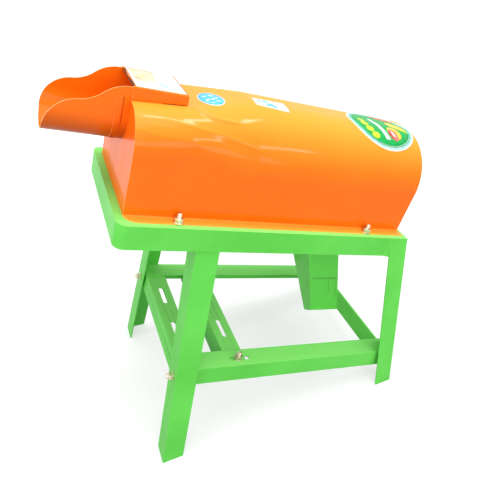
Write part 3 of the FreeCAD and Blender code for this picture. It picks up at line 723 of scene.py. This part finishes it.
def throat_top(x, y, lift):
    return bed(x, y, THROAT_TOP + lift)


def quad_grid(corners, across=10, along=10):
    """Places between four corners, given from near left round to far left."""
    near_left, near_right, far_right, far_left = [Vector(c) for c in corners]
    rows = []
    for i in range(across + 1):
        left = near_left.lerp(far_left, i / across)
        right = near_right.lerp(far_right, i / across)
        rows.append([tuple(left.lerp(right, j / along)) for j in range(along + 1)])
    return rows


def oval_grid(centre, outer, inner=0.04, turned=0.0, rows=5, columns=56):
    """Rings of places from an oval's edge inwards, to a share of its half axes."""
    lean = math.radians(turned)
    grid = []
    for i in range(rows + 1):
        share = 1 + (inner - 1) * i / rows
        row = []
        for j in range(columns):
            turn = 2 * math.pi * j / columns
            u, v = outer[0] * share * math.cos(turn), outer[1] * share * math.sin(turn)
            row.append((centre[0] + u * math.cos(lean) - v * math.sin(lean),
                        centre[1] + u * math.sin(lean) + v * math.cos(lean)))
        grid.append(row)
    return grid


def film(name, surface, grid, material, lift, closed=False, filled=False):
    """A thin film on a surface, from a grid of places on it."""
    verts = [surface(u, v, lift) for row in grid for u, v in row]
    columns = len(grid[0])
    faces = grid_faces(len(grid), columns, closed=closed)
    if filled:
        faces.append(tuple(range((len(grid) - 1) * columns, len(grid) * columns)))
    piece = make_piece(name, verts, faces, material, "stand")
    thin_film(piece, 0.08, -1.0)


def oval_film(name, centre, outer, material, lift, **shape):
    """An oval on the hood, or an oval ring where shape says how far in it reaches."""
    filled = "inner" not in shape
    film(name, hood_point, oval_grid(centre, outer, **shape), material, lift, closed=True, filled=filled)


def blob_films(name, blobs, material, lift, columns=24):
    """Small ovals, each with its centre, half axes and turn."""
    for number, (centre, reach, turned) in enumerate(blobs):
        oval_film(f"{name}_{number + 1}", centre, reach, material, lift,
                  turned=turned, rows=2, columns=columns)


def quad_film(name, surface, corners, material, lift, **grid):
    film(name, surface, quad_grid(corners, **grid), material, lift)


def make_throat_label():
    def patch(name, corners, material, lift):
        quad_film("throat_label" + name, throat_top, corners, material, lift)

    patch("", ((16.6, -43.5), (88.5, -41.3), (89.0, 44), (16.6, 43.5)), WHITE_FILM, FILM)
    patch("_patch", ((24, -20), (50, -10), (56, 41), (20, 41)), CREAM_INK, PRINT)
    patch("_dash", ((21, -2.5), (30.5, -6), (30.5, -3), (22, 1.5)), BROWN_INK, SECOND_PRINT)
    bars = ((54, 3, 8), (58, -5, 7), (51, -13, 13), (53, -18, 17), (57, -23.5, 14))
    for number, (x, y, reach) in enumerate(bars):
        corners = ((x, y - 1.6), (x + reach, y - 2.4), (x + reach, y), (x, y + 0.9))
        patch(f"_bar_{number + 1}", corners, PALE_BLUE_INK, PRINT)


def make_round_sticker():
    centre = (135.9, -13.3)
    oval_film("round_sticker", centre, (20.5, 27.5), WHITE_FILM, FILM)
    oval_film("round_sticker_field", centre, (18.6, 25.2), BLUE_INK, PRINT)
    blobs = (((128, -3), (4, 2.2), 20), ((139, 1), (5, 2), -10), ((146, -8), (3.2, 2.4), 40),
             ((131, -16), (4.5, 1.8), 10), ((139, -13), (2.6, 3.2), 0), ((145, -22), (4, 2), -20),
             ((134, -29), (4, 1.6), 5), ((127, -24), (2, 2.6), 0))
    blob_films("round_sticker_blob", blobs, WHITE_FILM, SECOND_PRINT, 20)


def make_slanted_label():
    corners = ((204.4, -28.1), (262.3, -34.9), (265.3, 0.6), (207.3, 0.9))
    quad_film("slanted_label", hood_point, corners, WHITE_FILM, FILM, across=14)
    blobs = (((222.6, -9.6), (6.5, 3.2), -20), ((215.5, -9), (3, 3.6), 0), ((233.5, -19), (7, 4.6), -15),
             ((239, -25.5), (5, 2.6), 20), ((226, -24.5), (4, 2), 10), ((229.5, -8), (2.6, 4.4), -30))
    blob_films("slanted_label_blob", blobs, BLUE_INK, PRINT)


def make_oval_label():
    centre = (459.5, -21.0)
    along, across = 68.0, 61.0
    field = 9.8
    bands = (("rim", 0.0, 3.0, WHITE_FILM), ("band", 3.0, 7.0, MINT_INK),
             ("line", 7.0, 8.6, DARK_GREEN_INK), ("border", 8.6, field, MINT_INK))
    for word, start, end, material in bands:
        oval_film("oval_label_" + word, centre, (along - start, across - start), material, FILM,
                  inner=(along - end) / (along - start), rows=1, columns=96)
    oval_film("oval_label_field", centre, (along - field, across - field), GREEN_INK, FILM,
              rows=8, columns=96)
    leaves = (((422, -8), (6.4, 7.4), 38), ((421, -22.5), (7.4, 7.6), 38), ((425, -37.5), (8.4, 8.4), 30),
              ((431.5, -53), (9, 8), 24))
    blob_films("oval_label_leaf", leaves, LIME_INK, PRINT)
    corners = ((453, -59.6), (462.5, -59.6), (450.5, 4), (443, 4))
    quad_film("oval_label_bar", hood_point, corners, WHITE_FILM, PRINT, across=16)
    shapes = (("glow", (479, -40), (14, 17), 8, AMBER_INK, PRINT),
              ("patch", (474, -46), (9.5, 15), 8, ROSE_INK, SECOND_PRINT),
              ("core", (474, -44), (2.4, 8), 8, WHITE_FILM, THIRD_PRINT),
              ("swoosh", (497, -14), (20, 11), -38, AMBER_INK, PRINT),
              ("tip", (509, -27), (9, 4.4), -60, LIME_INK, SECOND_PRINT),
              ("arc", (484, 15), (28, 5), -12, ROSE_INK, PRINT))
    for word, place, reach, turned, material, lift in shapes:
        rows, columns = (2, 24) if min(reach) < 5 else (3, 32)
        oval_film("oval_label_" + word, place, reach, material, lift,
                  turned=turned, rows=rows, columns=columns)


make_throat_label()
make_round_sticker()
make_slanted_label()
make_oval_label()


# Fasteners, built along a direction from a seat


def basis(axis):
    """Two directions that are square to an axis and to each other."""
    helper = Vector((0, 1, 0)) if abs(axis.y) < 0.9 else Vector((1, 0, 0))
    side = axis.cross(helper).normalized()
    return side, axis.cross(side)


def ring_rows(start, axis, rows, segments):
    """Rings of places round an axis, from rows of a height and a radius.

    Either may be a function of the turn.
    """
    side, other = basis(axis)
    verts = []
    for height, radius in rows:
        for k in range(segments):
            turn = 2 * math.pi * k / segments
            r = radius(turn) if callable(radius) else radius
            h = height(turn) if callable(height) else height
            verts.append(start + axis * h * MM + (side * math.cos(turn) + other * math.sin(turn)) * r * MM)
    return verts


def capped(rows, segments):
    """Faces of a closed turned shape, with one face over each end row."""
    faces = grid_faces(rows, segments, closed=True)
    faces.append(tuple(range(segments - 1, -1, -1)))
    faces.append(tuple(range((rows - 1) * segments, rows * segments)))
    return faces


def looped(rows, segments):
    """Faces of a turned shape with a bore, its last row joined to its first."""
    faces = grid_faces(rows, segments, closed=True)
    last = (rows - 1) * segments
    for k in range(segments):
        j = (k + 1) % segments
        faces.append((last + k, last + j, j, k))
    return faces


def hex_body(name, seat, axis, flats, height, bore, body, turned=0.0):
    """A hexagon nut or head with turned chamfers; with a bore it is open right through."""
    apothem = flats / 2

    def outline(turn):
        local = (turn + turned + math.pi / 6) % (math.pi / 3) - math.pi / 6
        return apothem / math.cos(local)

    def drop(turn):
        return 0.15 + 0.577 * (outline(turn) - apothem * 0.96)

    chamfer = 0.6 if bore else 0
    inner = bore if bore else apothem * 0.3
    land = apothem * 0.93
    rows = [(0, inner), (0, land), (drop, outline), (lambda turn: height - drop(turn), outline),
            (height, land), (height, inner + chamfer)]
    if bore:
        rows.append((height - chamfer, inner))
    segments = 48
    verts = ring_rows(seat, axis, rows, segments)
    faces = looped(len(rows), segments) if bore else capped(len(rows), segments)
    piece = make_piece(name, verts, faces, ZINC, body)
    ease_edges(piece, 0.12, 28)


def washer_disc(name, seat, axis, outer, inner, wall, body):
    """A plain washer with eased edges."""
    rows = [(0.15, inner), (0, inner + 0.2), (0, outer - 0.3), (0.3, outer), (wall - 0.3, outer),
            (wall, outer - 0.4), (wall, inner + 0.3), (wall - 0.2, inner)]
    segments = 40
    make_piece(name, ring_rows(seat, axis, rows, segments), looped(len(rows), segments),
               ZINC, body)


def threaded_rod(name, start, axis, radius, plain, length, body):
    """A shank whose thread, past its plain part, is a real helix."""
    segments, steps = 20, 5
    pitch = 1.25
    depth = pitch * 0.5

    def threaded(height):
        def radius_at(turn):
            phase = (height / pitch - turn / (2 * math.pi)) % 1
            return radius - depth * abs(2 * phase - 1) * 0.9
        return radius_at

    rows = [(0, radius * 0.96), (0.2, radius)]
    if plain > 0.5:
        rows.append((plain, radius))
    count = int((length - plain - 1) / pitch * steps)
    first = max(plain, 0.2)
    for k in range(1, count + 1):
        height = first + k * pitch / steps
        rows.append((height, threaded(height)))
    rows.append((length - 0.5, radius - depth))
    rows.append((length, radius - depth - 0.5))
    return make_piece(name, ring_rows(start, axis, rows, segments), capped(len(rows), segments),
                      ZINC, body)


def stud_set(name, seat, axis, grip, reach, body, flats=NUT_FLATS, radius=STUD):
    """A threaded shank from its seat through a grip, with the washer and nut past it."""
    nut_height = 6.5 * radius / STUD
    wall = 1.6 * radius / STUD
    far = seat + axis * grip * MM
    washer_disc(name + "_washer", far, axis, radius * 2, radius + 0.3, wall, body)
    hex_body(name + "_nut", far + axis * wall * MM, axis, flats, nut_height, radius - 0.35, body, turned=0.35)
    return threaded_rod(name + "_shank", seat, axis, radius - 0.02, grip, grip + reach, body)


def bolt_set(name, seat, axis, grip, reach, body, flats=NUT_FLATS, radius=STUD):
    """The same with a head that bears at the seat."""
    head_height = 5.3 * radius / STUD
    hex_body(name + "_head", seat - axis * head_height * MM, axis, flats, head_height, 0, body)
    return stud_set(name, seat, axis, grip, reach, body, flats, radius)


def left_leg_corner(depth):
    """Where the corner of a feed-end leg stands along and across the bed, at a depth below it."""
    return LEFT_LEG_PLACE + LEFT_LEG_LEAN * depth, HALF_WIDTH - WALL + LEFT_LEG_SPLAY * (depth - ANGLE)


def right_leg_corner(depth):
    """The same for a cob-end leg."""
    return BED_LENGTH + RIGHT_LEG_LEAN * (depth - WALL), HALF_WIDTH + RIGHT_LEG_SPLAY * (depth - WALL)


RAIL_FACE = left_leg_corner(RAIL_DEPTH)[1] - WALL
RAIL_START = left_leg_corner(RAIL_DEPTH + ANGLE)[0] + WALL
RAIL_END = right_leg_corner(RAIL_DEPTH)[0] - WALL
MOTOR_TOP = -RAIL_DEPTH - WALL
MOTOR_START = left_leg_corner(RAIL_DEPTH + 2 * ANGLE)[0] + WALL


def make_hood_studs():
    for number, x in enumerate(HOOD_BOLT_PLACES):
        for side, word in SIDES:
            shank = stud_set(f"hood_stud_{word}_{number + 1}", bed(x, side * HOOD_BOLT_LINE, 0), UP,
                             SHEET, 15.5, "stand")
    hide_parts("hood_bolts")


def make_slide_bolts():
    place = RAIL_START + SLOT_PLACE + SLIDE_REST + STUD
    seat = MOTOR_TOP - WALL - 0.05
    for side, word in SIDES:
        shank = bolt_set(f"slide_bolt_{word}", bed(place, side * (RAIL_FACE - SLOT_INSET), seat), UP,
                         0.05 - RAIL_DEPTH - seat, 15.5, "motor_rail")
    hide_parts("slide_bolts")


def make_leg_bolts():
    height = MOTOR_TOP - LEG_BOLT_DROP
    seat = MOTOR_START + WALL
    outside = left_leg_corner(-height - 7.5)[0] - 0.05
    for side, word in SIDES:
        shank = bolt_set(f"leg_bolt_{word}", bed(seat, side * (RAIL_FACE - LEG_BOLT_INSET), height), -ALONG,
                         seat - outside, 12.5, "stand")
    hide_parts("leg_bolts")


def make_bearing_bolts():
    """The bearings' own bolts, which go down through their feet and the flange below."""
    for place, x in BEARING_PLACES:
        for side, word in SIDES:
            bolt_set(f"bearing_bolt_{place}_{word}", bed(x, side * BEARING_BOLT_LINE, 7.0), -UP, 10.0, 10.0,
                     "stand", BEARING_NUT_FLATS, BEARING_STUD)


make_hood_studs()
make_slide_bolts()
make_leg_bolts()
make_bearing_bolts()


# Weld beads


def weld_bead(name, start, end, size, seed):
    """A laid bead from one place to another: overlapping ripples, slightly uneven, half sunk in the joint."""
    rng = random.Random(seed)
    first, last = bed(*start), bed(*end)
    axis = (last - first).normalized()
    side, other = basis(axis)
    count = max(int((last - first).length / 0.0011), 6)
    segments = 10
    verts = []
    wobble = 0.0
    for i in range(count + 1):
        centre = first.lerp(last, i / count)
        wobble = 0.85 * wobble + rng.uniform(-0.06, 0.06)
        ripple = 0.09 * math.cos(2 * math.pi * i / 4)
        from_end = min(i, count - i)
        taper = min(1.0, 0.35 + 0.65 * math.sin(math.pi * from_end / 6)) if from_end < 3 else 1.0
        radius = size * MM * (1 + wobble + ripple) * taper
        for n in range(segments):
            turn = 2 * math.pi * n / segments
            verts.append(centre + (side * math.cos(turn) + other * math.sin(turn)) * radius)
    make_piece(name, verts, capped(count + 1, segments), GREEN, "stand")


def bead_pair(name, start, end, size, seed):
    """The same bead on the front and on the back."""
    for side, word in SIDES:
        near, far = [(x, side * y, z) for x, y, z in (start, end)]
        weld_bead(f"{name}_{word}", near, far, size, seed)


# The feed-end legs stand behind the skirt, and a bead runs along its lower edge on their outer flange.
leg_x, leg_y = left_leg_corner(ANGLE)
bead_pair("leg_skirt_weld", (leg_x + 2, leg_y, 0.6 - ANGLE), (leg_x + ANGLE - 2, leg_y, 0.6 - ANGLE), 1.6, 3)

# The side rails stand between the legs, and a bead runs along the joint at each end.
for word, place, seed in (("feed", RAIL_START + 0.4, 5), ("cob", RAIL_END - 0.4, 9)):
    bead_pair(f"rail_{word}_weld", (place, RAIL_FACE - 4, -RAIL_DEPTH),
              (place, RAIL_FACE + 4 - ANGLE, -RAIL_DEPTH), 1.5, seed)


def leaning_plate(name, side):
    """The corner of the bed's skirt that runs out to the cob-end leg's leaning edge."""
    top = BED_LENGTH - ANGLE
    corner_x, corner_y = right_leg_corner(ANGLE)
    tip = (corner_x - ANGLE + 1.5, corner_y - 0.6, -ANGLE)
    outline = ((top, HALF_WIDTH, -WALL), (top, HALF_WIDTH, -ANGLE), tip)
    verts = [bed(x, side * (y - inset), z) for inset in (0, 2.2) for x, y, z in outline]
    faces = [(0, 1, 2), (5, 4, 3), (0, 3, 4, 1), (1, 4, 5, 2), (2, 5, 3, 0)]
    if side > 0:
        faces = turned_over(faces)
    make_piece(name, verts, faces, GREEN, "stand", smooth=False)


for side, word in SIDES:
    leaning_plate("skirt_end_" + word, side)


# Marks on the spout


def spout_left(depth):
    """Place of the spout's feed-end edge at a depth below the bed."""
    return SPOUT_PLACE + SPOUT_LEAN * (depth - SPOUT_TOP)


def make_spout_marks():
    """The flap that fills most of the slit, and the two seams that run down from it."""
    left = spout_left(SPOUT_SLIT)
    verts = [bed(left + along, -SPOUT_FRONT + 0.5, -SPOUT_SLIT - down)
             for down in (1.0, 2.0, 3.2) for along in (7.8, 20, 35, 50, 69.2)]
    flap = make_piece("spout_flap", verts, grid_faces(3, 5), GREEN, "stand")
    thin_film(flap, SHEET, 0.0)
    for name, share, top, low in (("spout_seam", 0.66, 145, 178), ("spout_fold", 0.9, 150, 196)):
        verts = [bed(spout_left(depth) + SPOUT_LENGTH * share + along, -SPOUT_FRONT - 0.06, -depth)
                 for depth in (top, (top + low) / 2, low) for along in (-0.35, 0.35)]
        mark = make_piece(name, verts, grid_faces(3, 2), DARK_GREEN_LINE, "stand")
        thin_film(mark, 0.1, 0.0)


make_spout_marks()


# Floor, light and camera


def sees_background(tree):
    """1 for the rays that see the white background: from the camera, or by way of metal or glass."""
    path = tree.nodes.new("ShaderNodeLightPath")
    seen = path.outputs["Is Camera Ray"]
    for ray in ("Is Glossy Ray", "Is Transmission Ray"):
        seen = math_node(tree, "MAXIMUM", seen, path.outputs[ray])
    return seen


def make_floor():
    reach = 6.0
    mesh = bpy.data.meshes.new("floor")
    corners = [(-reach, -reach, 0), (reach, -reach, 0), (reach, reach, 0), (-reach, reach, 0)]
    mesh.from_pydata(corners, [], [(0, 1, 2, 3)])
    floor = bpy.data.objects.new("floor", mesh)
    bpy.context.scene.collection.objects.link(floor)
    material, tree, shader = new_material("pale_floor")
    shader.inputs["Roughness"].default_value = 0.85
    tone = ramp(tree, noise(tree, 3, 2), [(0.3, (0.38, 0.38, 0.38)), (0.7, (0.41, 0.41, 0.41))])
    tree.links.new(tone, shader.inputs["Base Color"])
    # The camera sees the floor brighten outwards, from the contact shadow to the white of the background
    place = tree.nodes.new("ShaderNodeTexCoord")
    away = tree.nodes.new("ShaderNodeVectorMath")
    away.operation = "LENGTH"
    tree.links.new(place.outputs["Object"], away.inputs[0])
    glow = span(tree, away.outputs["Value"], 0.6, 1.0, 0.4, 1.2)
    strength = math_node(tree, "MULTIPLY", sees_background(tree), glow)
    shader.inputs["Emission Color"].default_value = (1, 1, 1, 1)
    tree.links.new(strength, shader.inputs["Emission Strength"])
    mesh.materials.append(material)


def make_world():
    """White as the background and in glossy reflections, and half as strong as a light."""
    world = bpy.data.worlds.new("studio")
    bpy.context.scene.world = world
    world.use_nodes = True
    tree = world.node_tree
    back = tree.nodes["Background"]
    tree.links.new(span(tree, sees_background(tree), 0.5, 1.0), back.inputs["Strength"])
    back.inputs["Color"].default_value = (1, 1, 1, 1)


def softbox(name, place, target, width, height, power, along=None):
    """A rectangular lamp that faces a target; along is the way its width runs, as near as it can."""
    light = bpy.data.lights.new(name, "AREA")
    light.shape = "RECTANGLE"
    light.size = width
    light.size_y = height
    light.energy = power
    lamp = bpy.data.objects.new(name, light)
    bpy.context.scene.collection.objects.link(lamp)
    lamp.location = place
    facing = (Vector(target) - Vector(place)).normalized()
    if along is None:
        lamp.rotation_euler = facing.to_track_quat("-Z", "Y").to_euler()
    else:
        run = Vector(along)
        run = (run - facing * run.dot(facing)).normalized()
        rise = run.cross(facing)
        lamp.rotation_euler = Matrix((run, rise, -facing)).transposed().to_euler()


make_floor()
make_world()
softbox("top_box", (0.1, -0.2, 2.3), (0.0, 0.0, 0.5), 1.8, 1.8, 26)
softbox("strip_box", (0.5, 0.05, 1.5), (0.0, 0.0, 0.6), 0.5, 0.12, 5, along=(1, 0, 0))
softbox("low_strip_box", (0.75, -0.95, 1.15), (0.0, 0.0, 0.6), 0.5, 0.08, 1.8, along=(1, 0, 0))
softbox("front_box", (-0.4, -2.2, 1.6), (0.0, 0.0, 0.35), 2.0, 1.2, 14)
softbox("low_box", (0.4, -2.2, 0.85), (0.0, 0.0, 0.25), 1.8, 0.5, 11)
softbox("left_box", (-2.0, -0.5, 1.3), (0.0, 0.0, 0.4), 1.2, 1.4, 16)
softbox("back_left_box", (-1.3, 2.2, 0.5), (0.0, 0.0, 0.5), 1.6, 1.8, 13)

camera = bpy.data.objects.new("camera", bpy.data.cameras.new("camera"))
bpy.context.scene.collection.objects.link(camera)
camera.data.sensor_width = 36.0
camera.data.lens = 34.728
camera.location = (-0.2784, -0.6959, 0.8964)
camera.rotation_euler = Euler([math.radians(a) for a in (52.43, -1.426, -21.39)], "XYZ")
camera.data.clip_start = 0.01
camera.data.clip_end = 50
bpy.context.scene.camera = camera
bpy.context.scene.view_settings.view_transform = "Standard"
